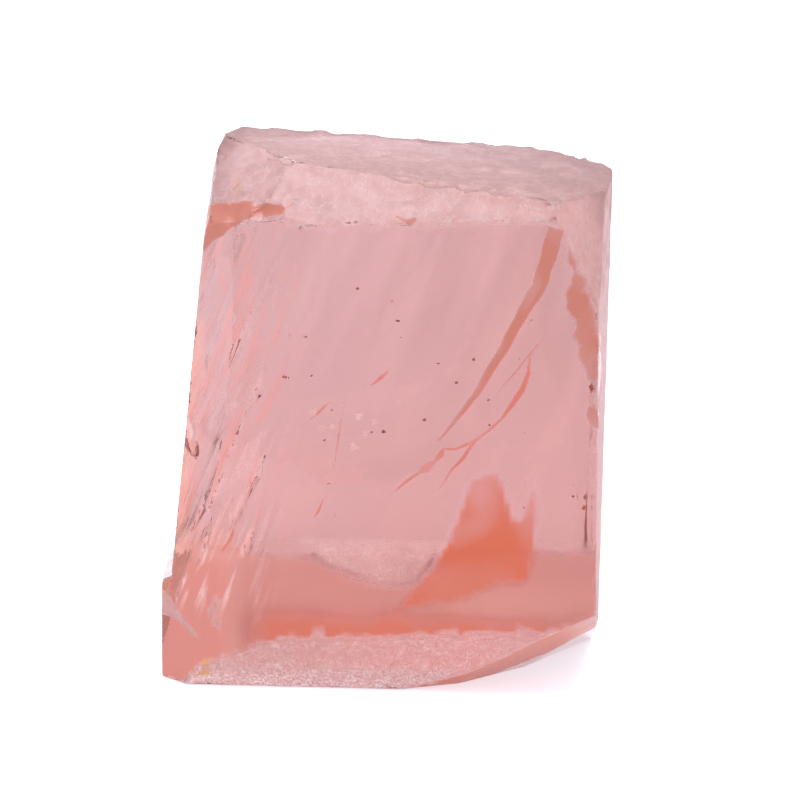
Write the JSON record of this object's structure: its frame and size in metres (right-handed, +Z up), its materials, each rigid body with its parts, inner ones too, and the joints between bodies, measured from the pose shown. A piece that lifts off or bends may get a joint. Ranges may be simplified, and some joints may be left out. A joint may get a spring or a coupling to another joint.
{
  "type": "morganite crystal specimen",
  "caption": "Loose fragment of clear pink-orange beryl: a sawn and broken block with a rough top, bevelled rim, clear front and a flat underside it stands on.",
  "frame": {"origin": "middle of the bounding box, on the underside the stone stands on", "axes": "+Z up, the stone's longest extent; +X to the right of the broad clear front face; +Y from that face into the stone"},
  "size_m": [0.0202, 0.0144, 0.0233],
  "materials": {
    "morganite": "clear pink-orange beryl, glassy where it broke, frosted on the sawn top, the rim bevel, the toe and the right edge"
  },
  "bodies": {
    "root": {"morganite_crystal": "morganite"}
  },
  "joints": []
}
